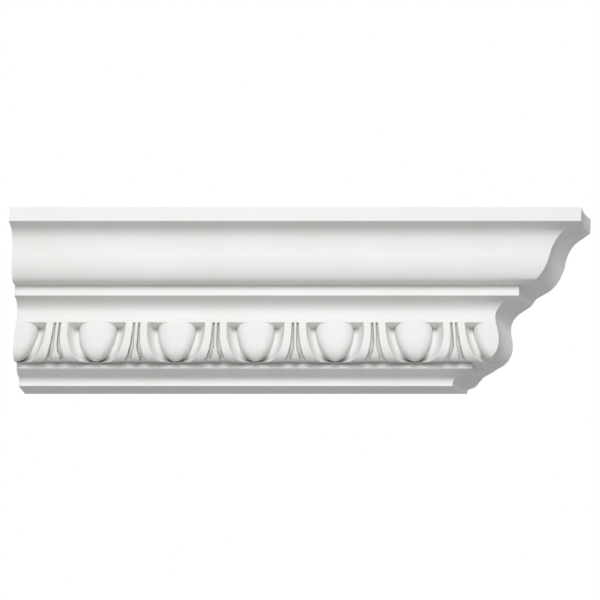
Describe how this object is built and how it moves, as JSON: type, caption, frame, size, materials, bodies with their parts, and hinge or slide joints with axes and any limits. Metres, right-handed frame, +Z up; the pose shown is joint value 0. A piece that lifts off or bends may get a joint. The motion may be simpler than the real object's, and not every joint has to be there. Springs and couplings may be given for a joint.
{
  "type": "cornice moulding section",
  "caption": "Crown moulding section with an egg-and-dart band, cut square at one end and to an outside mitre at the other.",
  "frame": {"origin": "middle of the flat land at the foot of the back that bears on the wall", "axes": "+X along the moulding towards the mitred end, +Y into the wall, +Z up to the ceiling"},
  "size_m": [0.568, 0.1516, 0.1339],
  "materials": {
    "white_casting": "matt white primed casting"
  },
  "bodies": {
    "root": {"moulding": "white_casting"}
  },
  "joints": []
}
